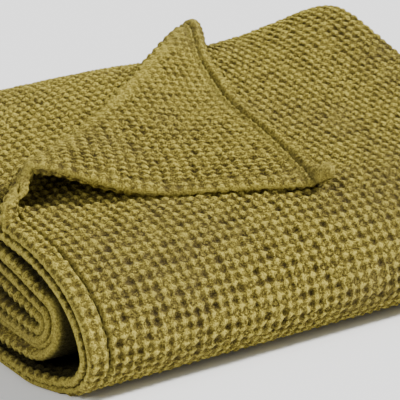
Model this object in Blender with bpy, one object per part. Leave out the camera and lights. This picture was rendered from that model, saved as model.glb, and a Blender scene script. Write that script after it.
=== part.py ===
"""A chunky waffle cotton bedspread, folded in four lengthwise and wound into a flattened roll.

The roll lies along X with its near end at the smaller X, its front at the smaller Y and its flat
underside on Z = 0. The cloth is one solid: a sheet folded in four across X, wound through two turns
in the YZ plane, with the near corner of its outermost layer turned back over the top.
Lengths are in millimetres until the mesh is made, which is in metres.
"""
import math

import bmesh
import bpy
import numpy as np

MM = 0.001

# The cloth
SHEET = 3.4
HEM_WIDTH = 17.0
HEM_EXTRA = 0.6
HEM_STEP = 2.0
CLEAR = 0.55

# The folded strip, along X
ROLL_LENGTH = 458.0
FAR_BULGE = 12.0
INNER_FOLD_BACK = 7.0
INNER_END_STEP = 5.0
SECOND_HEM_STEP = 1.0
FOLDED_EDGE_STEP = 4.0

# The outer pair of layers keeps this pitch all round the roll
PAIR_PITCH = 5.75

# Heights through the roll at five depths: its crown, and the upper and lower side of the tighter
# stack of twelve layers that the two outer layers wrap
STACK_COLUMNS = ("y", "crown", "stack_top", "stack_foot")
STACK_ROWS = (
    (63.0, 88.4, 63.8, 15.3),
    (105.0, 94.0, 73.5, 13.5),
    (180.0, 104.5, 88.0, 12.8),
    (250.0, 116.0, 103.0, 12.5),
    (318.0, 121.0, 108.5, 12.3),
)
STACK_LAYERS = 12

# Where the passes end and how far the turns reach
INNER_END_Y = 312.0
BACK_TURN_Y = 318.0
BACK_TURN_REACH = 44.0
FLAT_RUN = 20.0
FRONT_TURN_Y = 63.0
STACK_NOSE_Y = 38.0

# The outermost face at the front, from the flat underside up to the top, then over the back
FRONT_COLUMNS = ("y", "z")
FRONT_ROWS = (
    (62.0, 0.0),
    (47.0, 0.0),
    (31.0, 1.2),
    (18.0, 6.0),
    (9.5, 13.0),
    (3.0, 22.0),
    (0.0, 32.0),
    (1.6, 42.0),
    (6.8, 53.0),
    (15.0, 63.5),
    (26.0, 72.5),
    (39.5, 80.0),
    (58.0, 87.0),
    (80.0, 91.8),
    (105.0, 94.0),
)
BACK_COLUMNS = ("y", "z")
BACK_ROWS = (
    (140.0, 98.5),
    (180.0, 104.5),
    (215.0, 110.5),
    (250.0, 116.0),
    (285.0, 119.8),
    (318.0, 121.0),
    (340.0, 118.0),
    (357.0, 111.0),
    (373.0, 96.0),
)

SHOULDER_ROWS = 3

# The turned back corner: where its fold starts at the near end, its angle to X in the cloth,
# and the radius of its curl at both ends and in the middle
FOLD_START_Y = 108.0
FOLD_ANGLE = 38.0
CURL_ENDS = 16.5
CURL_MIDDLE = 6.0
FLAP_REST = 5.2
SETTLE_NEAR = 95.0
SETTLE_FAR = 42.0
SLOPE_LOSS = 0.6

# The loose corner of the cloth is drawn in a little at its end hem
DRAWN_IN = 14.0
DRAWN_WIDTH = 90.0

# The far back corner stands up, and the crown is a little uneven
CORNER_X = 452.0
CORNER_Y = 329.0
CORNER_SPREAD_X = 72.0
CORNER_SPREAD_Y = 75.0
CORNER_RISE = 0.165

# The near end leans out towards its foot, behind the round front
LEAN = 13.0
LEAN_FRONT = 15.0
LEAN_DEPTH = 50.0
LEAN_FOOT = 10.0
LEAN_HEIGHT = 60.0
LEAN_FADE = 200.0

# Stations on the mesh
PASS_ROWS = 4
TURN_ROWS = 6
BACK_TURN_ROWS = 7
OUTER_TURN_ROWS = 10
TOP_ROWS = 15
ROW_CROWDING = 1.7
FLAP_COLUMNS = 4
CURL_COLUMNS = 7
PLAIN_COLUMNS = 4
OUTER_FOLD_COLUMNS = 5
SMALL_FOLD_COLUMNS = 3
HIDDEN_COLUMNS = 4
SECOND_COLUMNS = 6
SLOPE_STEP = 0.05

# Where the columns of the curl lie before its fold starts, and at the least and most
CREASE_LEAST = 14.0
CREASE_MOST = 200.0
CREASE_SPREAD = 1.3
FLAT_LEAST = 0.45
HEM_LEAST = 0.5
HEM_COLUMN = 0.88
HEM_MARK = 0.9


def column(columns, rows, name):
    """One named column of a table, as an array."""
    return np.array([row[columns.index(name)] for row in rows])


def smooth(value):
    """A soft step from 0 to 1."""
    value = np.clip(value, 0.0, 1.0)
    return value * value * (3.0 - 2.0 * value)


def stack_height(name, y):
    """The crown, or a side of the stack, at a depth."""
    return np.interp(y, column(STACK_COLUMNS, STACK_ROWS, "y"), column(STACK_COLUMNS, STACK_ROWS, name))


def stack_pitch(y):
    """The pitch of the layers in the stack at a depth."""
    return (stack_height("stack_top", y) - stack_height("stack_foot", y)) / STACK_LAYERS


def spline(points, per_span=16):
    """A smooth curve through the points, densely sampled."""
    points = np.asarray(points, dtype=float)
    ends = np.vstack([2 * points[0] - points[1], points, 2 * points[-1] - points[-2]])
    out = []
    for before, start, stop, after in zip(ends, ends[1:], ends[2:], ends[3:]):
        for step in range(per_span):
            t = step / per_span
            out.append(0.5 * (2 * start + (stop - before) * t
                              + (2 * before - 5 * start + 4 * stop - after) * t ** 2
                              + (3 * start - before - 3 * stop + after) * t ** 3))
    out.append(points[-1])
    return np.array(out)


class Path:
    """A curve in the YZ plane with the side that faces the middle of the roll on its left."""

    def __init__(self, points):
        self.points = points
        steps = np.linalg.norm(np.diff(points, axis=0), axis=1)
        self.length = np.concatenate([[0.0], np.cumsum(steps)])
        slope = np.gradient(points, self.length, axis=0)
        slope /= np.linalg.norm(slope, axis=1)[:, None]
        self.inward = np.stack([slope[:, 1], -slope[:, 0]], axis=1)

    def point(self, along):
        return np.stack([np.interp(along, self.length, self.points[:, i]) for i in (0, 1)], axis=-1)

    def normal(self, along):
        normal = np.stack([np.interp(along, self.length, self.inward[:, i]) for i in (0, 1)], axis=-1)
        return normal / np.linalg.norm(normal, axis=-1, keepdims=True)


def outer_face():
    """The outermost face from the flat underside round the front and over the top to the end hem."""
    front = list(zip(column(FRONT_COLUMNS, FRONT_ROWS, "y"), column(FRONT_COLUMNS, FRONT_ROWS, "z")))
    back = list(zip(column(BACK_COLUMNS, BACK_ROWS, "y"), column(BACK_COLUMNS, BACK_ROWS, "z")))
    return Path(spline(front + back))


OUTER = outer_face()
END_HEM_AT = OUTER.length[-1]


def stack_face():
    """The outer side of the stack, under the two outer layers, along the same way round."""
    foot = [(y, stack_height("stack_foot", y)) for y in (FRONT_ROWS[0][0] + FLAT_RUN, FRONT_TURN_Y)]
    top = stack_height("stack_top", FRONT_TURN_Y)
    middle = (foot[-1][1] + top) / 2
    nose = []
    for angle in np.radians(np.arange(-60.0, 90.0, 30.0)):
        nose.append((FRONT_TURN_Y - (FRONT_TURN_Y - STACK_NOSE_Y) * math.cos(angle),
                     middle + (top - middle) * math.sin(angle)))
    crown = [(row[0], row[2]) for row in STACK_ROWS]
    shoulder = []
    for y, z in BACK_ROWS[-SHOULDER_ROWS:]:
        along = OUTER.length[np.argmin(np.hypot(*(OUTER.points - (y, z)).T))]
        shoulder.append(OUTER.point(along) + OUTER.normal(along) * (2 * PAIR_PITCH + CLEAR))
    return Path(spline(foot + nose + crown + shoulder))


STACK = stack_face()


def nearest(path, point):
    """How far along a path its nearest point to another point lies."""
    gap = np.hypot(*(path.points - point).T)
    best = int(np.argmin(gap))
    low = path.length[max(best - 1, 0)]
    high = path.length[min(best + 1, len(gap) - 1)]
    tries = np.linspace(low, high, 41)
    return tries[np.argmin(np.hypot(*(path.point(tries) - point).T))]


def row(outer, outward_pitch, inner, inward_pitch, near, along=None):
    """One station of the winding: the outer pair of layers, the inner pair and where they start in X."""
    return {"outer": outer, "outer_pitch": outward_pitch, "inner": inner, "inner_pitch": inward_pitch,
            "near": near, "along": along}


def winding_rows():
    """The stations of the winding from its inner end to the end hem."""
    rows = []
    up = np.array([0.0, 1.0])
    for y in np.linspace(INNER_END_Y, FRONT_TURN_Y, PASS_ROWS):
        pitch = stack_pitch(y)
        face = np.array([y, stack_height("stack_foot", y) + 2 * pitch])
        rows.append(row((face, up), pitch, (face + 2 * pitch * up, up), pitch, INNER_END_STEP))

    pitch = stack_pitch(FRONT_TURN_Y)
    middle = np.array([FRONT_TURN_Y, (stack_height("stack_top", FRONT_TURN_Y)
                                      + stack_height("stack_foot", FRONT_TURN_Y)) / 2])
    for angle in np.linspace(-math.pi / 2, math.pi / 2, TURN_ROWS + 1)[1:-1]:
        out = np.array([-math.cos(angle), math.sin(angle)])
        rows.append(row((middle + 4 * pitch * out, -out), pitch,
                        (middle + 2 * pitch * out, -out), pitch, INNER_END_STEP))

    for y in np.linspace(FRONT_TURN_Y, BACK_TURN_Y, PASS_ROWS):
        pitch = stack_pitch(y)
        face = np.array([y, stack_height("stack_top", y) - 2 * pitch])
        rows.append(row((face, -up), pitch, (face - 2 * pitch * up, -up), pitch, INNER_END_STEP))

    half = rows[-1]["outer"][0][1] / 2
    foot = stack_height("stack_foot", BACK_TURN_Y)
    for share in np.linspace(0.0, 1.0, BACK_TURN_ROWS + 1)[1:-1]:
        angle = math.pi * (0.5 - share)
        face = np.array([BACK_TURN_Y + BACK_TURN_REACH * math.cos(angle), half + half * math.sin(angle)])
        out = np.array([math.cos(angle) / BACK_TURN_REACH, math.sin(angle) / half])
        out /= np.linalg.norm(out)
        outer_pitch = pitch + (PAIR_PITCH - pitch) * share
        to_inner = 2 * pitch + (foot - 2 * pitch) * share
        near = INNER_END_STEP * (1.0 - smooth(share))
        rows.append(row((face, -out), outer_pitch, (face - to_inner * out, -out), pitch, near))

    for y in np.linspace(BACK_TURN_Y, FRONT_ROWS[0][0] + FLAT_RUN, PASS_ROWS):
        face = np.array([y, 0.0])
        inner = np.array([y, stack_height("stack_foot", y)])
        rows.append(row((face, up), PAIR_PITCH, (inner, up), stack_pitch(y), 0.0))

    turned = nearest(OUTER, np.array(FRONT_ROWS[-1]))
    turn = np.linspace(0.0, turned, OUTER_TURN_ROWS + 1)[:-1]
    spread = np.linspace(0.0, 1.0, TOP_ROWS) ** ROW_CROWDING
    top = turned + (END_HEM_AT - HEM_WIDTH - turned) * spread
    hem = np.array([END_HEM_AT - HEM_WIDTH + HEM_STEP, END_HEM_AT])
    for along in np.concatenate([turn, top, hem]):
        face = OUTER.point(along)
        inner_at = nearest(STACK, face)
        inner = STACK.point(inner_at)
        pitch = min(stack_pitch(inner[0]), stack_pitch(BACK_TURN_Y))
        rows.append(row((face, OUTER.normal(along)), PAIR_PITCH, (inner, STACK.normal(inner_at)), pitch,
                        0.0, along))
    return rows


FOLD_START = nearest(OUTER, np.array([FOLD_START_Y, stack_height("crown", FOLD_START_Y)]))
FOLD_SIN = math.sin(math.radians(FOLD_ANGLE))
FOLD_COS = math.cos(math.radians(FOLD_ANGLE))
FOLD_LENGTH = (END_HEM_AT - FOLD_START) / FOLD_SIN


def curl_radius(along_fold):
    """The radius of the turned corner's curl along its fold."""
    share = np.clip(along_fold / FOLD_LENGTH, 0.0, 1.0)
    return CURL_MIDDLE + (CURL_ENDS - CURL_MIDDLE) * (2.0 * share - 1.0) ** 2


def outermost(x, along):
    """The middle of the outermost layer at a place in the cloth, with its corner turned back."""
    loose = max(along - FOLD_START, 0.0) / (END_HEM_AT - FOLD_START)
    along = along - DRAWN_IN * math.exp(-x / DRAWN_WIDTH) * loose
    past = (along - FOLD_START) * FOLD_COS - x * FOLD_SIN
    along_fold = x * FOLD_COS + (along - FOLD_START) * FOLD_SIN
    height = 0.0
    if past > 0.0:
        radius = curl_radius(along_fold)
        angle = past / radius
        if angle < math.pi:
            height = radius * (1.0 - math.cos(angle))
            past = radius * math.sin(angle)
        else:
            past = past - math.pi * radius
            drop = 2 * radius - FLAP_REST
            settle_over = SETTLE_NEAR + (SETTLE_FAR - SETTLE_NEAR) * smooth(along_fold / FOLD_LENGTH)
            share = smooth(past / settle_over)
            height = FLAP_REST + drop * (1.0 - share)
            past = SLOPE_LOSS * drop ** 2 / settle_over * share - past
        x = along_fold * FOLD_COS - past * FOLD_SIN
        along = FOLD_START + along_fold * FOLD_SIN + past * FOLD_COS
    point = OUTER.point(along) + OUTER.normal(along) * (SHEET / 2 - height)
    return np.array([x, point[0], point[1]])


def outermost_columns(along):
    """Where the outermost layer has its stations along X at one row, closest together on the curl."""
    if along is None:
        crease = CREASE_MOST
    elif along < FOLD_START:
        crease = min(CREASE_LEAST + CREASE_SPREAD * (FOLD_START - along), CREASE_MOST)
    else:
        crease = max(CREASE_LEAST, (along - FOLD_START) * FOLD_COS / FOLD_SIN)
    radius = CURL_ENDS if along is None else curl_radius(crease / FOLD_COS)
    flat = max(crease - math.pi * radius / FOLD_SIN, FLAT_LEAST * crease)
    hem = min(HEM_WIDTH, HEM_LEAST * flat)
    flap = np.concatenate([[0.0, hem * HEM_COLUMN], np.linspace(hem, flat, FLAP_COLUMNS)])
    curl = np.linspace(flat, crease, CURL_COLUMNS + 1)[1:]
    far = ROLL_LENGTH - FAR_BULGE - SHEET / 2
    plain = np.linspace(crease, far, PLAIN_COLUMNS + 1)[1:]
    return np.concatenate([flap, curl, plain])


def settle(point):
    """The soft unevenness of the whole roll: its far back corner stands up, its near end leans out."""
    x, y, z = point
    lean = LEAN * smooth((y - LEAN_FRONT) / LEAN_DEPTH) * (1.0 - smooth((z - LEAN_FOOT) / LEAN_HEIGHT))
    x = x - lean * (1.0 - smooth(x / LEAN_FADE))
    corner = math.exp(-((x - CORNER_X) / CORNER_SPREAD_X) ** 2 - ((y - CORNER_Y) / CORNER_SPREAD_Y) ** 2)
    return np.array([x, y, max(z, 0.0) * (1.0 + CORNER_RISE * corner)])


def at(x, plane):
    """A point from its X and its place in the YZ plane."""
    return np.array([x, plane[0], plane[1]])


def section(station):
    """The folded strip at one row: the middle of its sheet, the side that faces out, and hem marks."""
    face, inward = station["outer"]
    inner_face, inner_inward = station["inner"]
    second = face + inward * (SHEET / 2 + station["outer_pitch"])
    third = inner_face + inner_inward * (SHEET / 2)
    fourth = third + inner_inward * station["inner_pitch"]
    near = station["near"]
    far = ROLL_LENGTH - FAR_BULGE - SHEET / 2
    points, sides, hems = [], [], []

    for x in outermost_columns(station["along"]):
        shifted = near + x * (1.0 - near / far)
        if station["along"] is None:
            points.append(at(shifted, face + inward * (SHEET / 2)))
            sides.append(at(0.0, -inward))
        else:
            points.append(outermost(shifted, station["along"]))
            across = (outermost(shifted + SLOPE_STEP, station["along"])
                      - outermost(shifted - SLOPE_STEP, station["along"]))
            onward = min(station["along"] + SLOPE_STEP, END_HEM_AT)
            back = max(station["along"] - SLOPE_STEP, 0.0)
            length = outermost(shifted, onward) - outermost(shifted, back)
            sides.append(np.cross(across, length))
        hems.append(x < HEM_WIDTH * HEM_MARK)

    def turn(start, stop, x, bulge, count):
        """A soft U fold between two layers."""
        span = stop - start
        reach = min(abs(bulge), np.linalg.norm(span) / 2)
        for angle in np.linspace(0.0, math.pi, count + 2)[1:-1]:
            middle = start + span * (1.0 - math.cos(angle)) / 2
            points.append(at(x + math.copysign(reach * math.sin(angle), bulge), middle))
            outward = -math.cos(angle) * span / np.linalg.norm(span)
            sides.append(at(math.copysign(math.sin(angle), bulge), outward))
            hems.append(False)
        return reach

    def run(face_at, inward_at, stations, sense):
        for x in stations:
            points.append(at(x, face_at))
            sides.append(at(0.0, inward_at * sense))
            hems.append(False)

    first = face + inward * (SHEET / 2)
    turn(first, fourth, far, FAR_BULGE, OUTER_FOLD_COLUMNS)
    folded = near + FOLDED_EDGE_STEP * (1.0 - near / INNER_END_STEP) + station["inner_pitch"] / 2
    run(fourth, inner_inward, np.linspace(far, folded, HIDDEN_COLUMNS), 1.0)
    turn(fourth, third, folded, -FAR_BULGE, SMALL_FOLD_COLUMNS)
    inner_far = far - INNER_FOLD_BACK
    run(third, inner_inward, np.linspace(folded, inner_far, HIDDEN_COLUMNS), -1.0)
    start = len(points)
    turn(third, second, inner_far, FAR_BULGE, SMALL_FOLD_COLUMNS)
    for index in range(start, len(points)):
        sides[index] = -sides[index]
    hem = near + SECOND_HEM_STEP + HEM_WIDTH
    second_columns = np.linspace(inner_far, hem, SECOND_COLUMNS)
    run(second, inward, np.concatenate([second_columns, [hem - HEM_STEP, near + SECOND_HEM_STEP]]), 1.0)
    hems[-2:] = [True, True]
    return points, sides, hems


def bedspread_mesh():
    """The sheet's two faces, its hems and its ends, as one closed mesh."""
    rows = winding_rows()
    middles, sides, marks = [], [], []
    for number, station in enumerate(rows):
        points, normals, hems = section(station)
        end_hem = number >= len(rows) - 2 or number == 0
        middles.append(points)
        sides.append(normals)
        marks.append([mark or end_hem for mark in hems])
    middles = np.array(middles)
    sides = np.array(sides)
    sides /= np.linalg.norm(sides, axis=2)[..., None]
    half = SHEET / 2 + np.where(np.array(marks), HEM_EXTRA / 2, 0.0)[..., None]
    front = middles + sides * half
    back = middles - sides * half

    settled = [[[settle(point) for point in line] for line in face] for face in (front, back)]
    settled = np.array(settled) * MM
    middle = (settled.min(axis=(0, 1, 2)) + settled.max(axis=(0, 1, 2))) / 2
    settled[..., :2] -= middle[:2]

    mesh = bmesh.new()
    grids = []
    for face in settled:
        grids.append([[mesh.verts.new(point) for point in line] for line in face])
    count, width = len(grids[0]), len(grids[0][0])
    for i in range(count - 1):
        for j in range(width - 1):
            a, b = grids[0], grids[1]
            mesh.faces.new((a[i][j], a[i][j + 1], a[i + 1][j + 1], a[i + 1][j]))
            mesh.faces.new((b[i][j], b[i + 1][j], b[i + 1][j + 1], b[i][j + 1]))
    rim = [(0, j) for j in range(width)] + [(i, width - 1) for i in range(1, count)]
    rim += [(count - 1, j) for j in range(width - 2, -1, -1)] + [(i, 0) for i in range(count - 2, 0, -1)]
    for here, there in zip(rim, rim[1:] + rim[:1]):
        corners = [grids[0][here[0]][here[1]], grids[1][here[0]][here[1]],
                   grids[1][there[0]][there[1]], grids[0][there[0]][there[1]]]
        mesh.faces.new(corners)
    return mesh


def fabric(name, color, roughness):
    """A plain woven cotton finish."""
    material = bpy.data.materials.new(name)
    material.use_nodes = True
    shader = material.node_tree.nodes["Principled BSDF"]
    shader.inputs["Base Color"].default_value = (*color, 1.0)
    shader.inputs["Roughness"].default_value = roughness
    shader.inputs["Metallic"].default_value = 0.0
    return material


for thing in list(bpy.data.objects):
    bpy.data.objects.remove(thing)

form = bedspread_mesh()
bmesh.ops.recalc_face_normals(form, faces=form.faces)
if form.calc_volume(signed=True) < 0.0:
    bmesh.ops.reverse_faces(form, faces=form.faces)
bmesh.ops.triangulate(form, faces=form.faces)
data = bpy.data.meshes.new("bedspread")
form.to_mesh(data)
form.free()
bedspread = bpy.data.objects.new("bedspread", data)
bpy.context.scene.collection.objects.link(bedspread)
bedspread.data.materials.append(fabric("waffle_cotton", (0.42, 0.36, 0.13), 0.9))
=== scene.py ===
import math

import bpy
import numpy as np
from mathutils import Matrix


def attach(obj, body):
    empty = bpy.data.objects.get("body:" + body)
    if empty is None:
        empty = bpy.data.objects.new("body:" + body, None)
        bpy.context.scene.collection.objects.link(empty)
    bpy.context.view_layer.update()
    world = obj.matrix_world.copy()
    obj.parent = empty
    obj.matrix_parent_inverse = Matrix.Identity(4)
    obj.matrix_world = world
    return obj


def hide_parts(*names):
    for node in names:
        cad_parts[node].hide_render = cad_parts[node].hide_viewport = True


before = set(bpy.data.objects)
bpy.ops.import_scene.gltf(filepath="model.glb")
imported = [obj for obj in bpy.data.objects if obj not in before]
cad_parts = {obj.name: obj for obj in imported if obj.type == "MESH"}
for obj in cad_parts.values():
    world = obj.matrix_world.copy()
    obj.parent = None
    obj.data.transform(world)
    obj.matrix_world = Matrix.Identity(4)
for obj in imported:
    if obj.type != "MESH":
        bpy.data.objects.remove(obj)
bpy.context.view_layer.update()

# The inner end of the cloth: the first two passes of the winding, flattened into the middle of the
# roll. Chunky waffle cotton, folded in four across its width and then wound, with a stitched hem
# along each side. Only the edges at the two ends of the roll can be seen.
MM = 0.001
CELL = 8.0
SHEET = 3.4
PAIR_PITCH = 5.75
STACK_CLEAR = 0.55
STACK_LAYERS = 12
ROLL_MIDDLE = (222.63, 189.19)

# Heights through the roll at five depths: its crown, and both sides of the tighter stack of layers
STACK_COLUMNS = ("y", "crown", "stack_top", "stack_foot")
STACK_ROWS = (
    (63.0, 88.4, 63.8, 15.3),
    (105.0, 94.0, 73.5, 13.5),
    (180.0, 104.5, 88.0, 12.8),
    (250.0, 116.0, 103.0, 12.5),
    (318.0, 121.0, 108.5, 12.3),
)
INNER_END_Y = 312.0
BACK_TURN_Y = 318.0
BACK_TURN_REACH = 44.0
FRONT_TURN_Y = 63.0
STACK_NOSE_Y = 38.0
FLAT_RUN = 20.0

# The outermost face from the flat underside round the front, over the top and down the back: y, z
PROFILE_ROWS = (
    (62.0, 0.0),
    (47.0, 0.0),
    (31.0, 1.2),
    (18.0, 6.0),
    (9.5, 13.0),
    (3.0, 22.0),
    (0.0, 32.0),
    (1.6, 42.0),
    (6.8, 53.0),
    (15.0, 63.5),
    (26.0, 72.5),
    (39.5, 80.0),
    (58.0, 87.0),
    (80.0, 91.8),
    (105.0, 94.0),
    (140.0, 98.5),
    (180.0, 104.5),
    (215.0, 110.5),
    (250.0, 116.0),
    (285.0, 119.8),
    (318.0, 121.0),
    (340.0, 118.0),
    (357.0, 111.0),
    (373.0, 96.0),
)
SHOULDER_ROWS = 3
FRONT_TURN_ROWS = 25
BACK_TURN_ROWS = 64
STACK_STEP = 0.2
ROW_STEP = 2.0
ROW_BLUR = 3.0
FACE_BLUR = 1.2
SPARE_ROWS = 12

# The folded strip across the width of the cloth, in cells of the weave
STRIP_COLUMNS = ("layer", "cells")
STRIP_ROWS = (
    ("outermost", 56),
    ("far_fold", 4),
    ("fourth", 55),
    ("near_fold", 1),
    ("third", 54),
    ("inner_fold", 1),
    ("second", 55),
)
ROLL_LENGTH = 458.0
FAR_BULGE = 12.0
INNER_FOLD_BACK = 7.0
INNER_END_STEP = 5.0
SECOND_HEM_STEP = -2.5
FOLDED_EDGE_STEP = 4.0

# The turned back corner of the outermost layer
FOLD_START_Y = 108.0
FOLD_ANGLE = 37.3
CURL_NEAR = 20.5
CURL_FAR = 15.3
CURL_MIDDLE = 6.5
FLAP_REST = 5.8
SETTLE_NEAR = 95.0
SETTLE_FAR = 32.0
SLOPE_LOSS = 0.75
LOOSENING = 1.5
# How far the loose end hem is drawn in, at places across the cloth: x, drawn
DRAWN_ROWS = (
    (0.0, 8.0),
    (60.0, 10.0),
    (110.0, 16.0),
    (150.0, 24.0),
    (190.0, 22.0),
    (240.0, 15.0),
    (290.0, -4.0),
    (340.0, -19.0),
    (390.0, -10.0),
    (450.0, 0.0),
)
LIP = 17.0
LIP_WIDTH = 30.0
TIP_LIFT = 4.5
TIP_SPREAD = 26.0
TAB_REACH = 2.0
TAB_LENGTH = 18.0
TAB_MIDDLE = 4.5
TAB_WIDTH = 5.5
TAB_LIFT = 9.5
TAB_PLUMP = 2.6
# The tab's weave is calmed: its relief flattens, and its tone lightens as a painted highlight
TAB_CALM = 0.6
TAB_UNSTITCHED = 1.6

# The raised far corner and the lean of the near end
CORNER_X = 452.0
CORNER_Y = 329.0
CORNER_SPREAD_X = 72.0
CORNER_SPREAD_Y = 75.0
CORNER_RISE = 0.165
BACK_X = 215.0
BACK_SPREAD = 75.0
BACK_RISE = 0.03
LEAN = 13.0
LEAN_FRONT = 15.0
LEAN_DEPTH = 50.0
LEAN_FOOT = 10.0
LEAN_HEIGHT = 60.0
LEAN_FADE = 200.0

# The hems: their widths, how far they puff up, and the groove that their stitches pull in
SIDE_HEM = 17.0
END_HEM = 12.5
SIDE_PUFF_OVER = (5.0, 4.0)
END_PUFF_OVER = (4.0, 3.0)
HEM_PUFF = 0.75
HEM_ROPE = 0.4
SECOND_ROPE = 0.9
ROPE_MIDDLE = 2.5
ROPE_WIDTH = 2.2
END_ROPE = 1.3
END_ROPE_MIDDLE = 5.5
END_ROPE_WIDTH = 3.6
# Painted shade along the outer edge of the loose end hem: how dark, and how wide
END_SHADE = 0.6
END_SHADE_WIDTH = 1.8
SECOND_ROW = 6.0
SECOND_ROW_SHARE = 0.5
HEM_WOBBLE = 0.55
SIDE_WAVES = (3.1, 1.9)
END_WAVES = (2.7, 1.7)
CURL_PUFF = 1.5
CURL_PUFF_FROM = -130.0
CURL_PUFF_OVER = 110.0
FOLD_CALM = 0.1
FOLD_CALM_WIDTH = 13.0
# Along the crease of the turned corner the weave is calmed: its relief flattens, and its tone lightens as a
# painted highlight along the fold edge
CREASE_CALM = 0.4
CREASE_SHARE = 0.88
CREASE_WIDTH = 5.5
HEM_WEAVE = 0.84
HEM_WEAVE_FROM = 1.0
HEM_WEAVE_OVER = 4.0
EDGE_WEAVE = 0.1
GROOVE_DEPTH = 2.0
GROOVE_WIDTH = 1.6
EDGE_ROUND = 2.9
EDGE_LEAST = 0.16


def column(columns, rows, name):
    """One named column of a table, as an array."""
    return np.array([row[columns.index(name)] for row in rows])


def smooth(value):
    """A soft step from 0 to 1."""
    value = np.clip(value, 0.0, 1.0)
    return value * value * (3.0 - 2.0 * value)


def stack_height(name, y):
    """The crown, or a side of the stack, at a depth."""
    return np.interp(y, column(STACK_COLUMNS, STACK_ROWS, "y"), column(STACK_COLUMNS, STACK_ROWS, name))


def stack_pitch(y):
    """The pitch of the layers in the stack at a depth."""
    return (stack_height("stack_top", y) - stack_height("stack_foot", y)) / STACK_LAYERS


def spline(points, per_span=16):
    """A smooth curve through the points, densely sampled."""
    points = np.asarray(points, dtype=float)
    ends = np.vstack([2 * points[0] - points[1], points, 2 * points[-1] - points[-2]])
    steps = (np.arange(per_span) / per_span)[:, None]
    spans = []
    for before, start, stop, after in zip(ends, ends[1:], ends[2:], ends[3:]):
        spans.append(0.5 * (2 * start + (stop - before) * steps
                            + (2 * before - 5 * start + 4 * stop - after) * steps ** 2
                            + (3 * start - before - 3 * stop + after) * steps ** 3))
    return np.vstack(spans + [points[-1:]])


def lengths(points):
    """How far along a curve each of its points lies."""
    return np.concatenate([[0.0], np.cumsum(np.linalg.norm(np.diff(points, axis=0), axis=1))])


def inward_sides(points):
    """The side of a curve that faces the middle of the roll, at each of its points."""
    slope = np.gradient(points, axis=0)
    side = np.stack([slope[:, 1], -slope[:, 0]], axis=1)
    return side / np.linalg.norm(side, axis=1)[:, None]


def even_points(points, step):
    """A curve again, with its points an even step apart."""
    along = lengths(points)
    stations = np.linspace(0.0, along[-1], int(round(along[-1] / step)) + 1)
    return np.stack([np.interp(stations, along, points[:, axis]) for axis in (0, 1)], axis=1)


def blurred(values, spread):
    """Values along a curve, softened over their neighbours."""
    reach = int(4 * spread) + 1
    weights = np.exp(-0.5 * (np.arange(-reach, reach + 1) / spread) ** 2)
    weights /= weights.sum()
    start = 2 * values[0] - values[reach:0:-1]
    stop = 2 * values[-1] - values[-2:-reach - 2:-1]
    return np.convolve(np.concatenate([start, values, stop]), weights, mode="valid")


def stack_face(profile):
    """The outer side of the stack, under the two outer layers, along the same way round."""
    foot = [(y, stack_height("stack_foot", y)) for y in (PROFILE_ROWS[0][0] + FLAT_RUN, FRONT_TURN_Y)]
    top = stack_height("stack_top", FRONT_TURN_Y)
    middle = (foot[-1][1] + top) / 2
    nose = []
    for angle in np.radians(np.arange(-60.0, 90.0, 30.0)):
        nose.append((FRONT_TURN_Y - (FRONT_TURN_Y - STACK_NOSE_Y) * math.cos(angle),
                     middle + (top - middle) * math.sin(angle)))
    crown = [(row[0], row[2]) for row in STACK_ROWS]
    inward = inward_sides(profile)
    shoulder = []
    for place in PROFILE_ROWS[-SHOULDER_ROWS:]:
        best = np.argmin(np.hypot(*(profile - place).T))
        shoulder.append(profile[best] + inward[best] * (2 * PAIR_PITCH + STACK_CLEAR))
    return spline(foot + nose + crown + shoulder)


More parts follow.
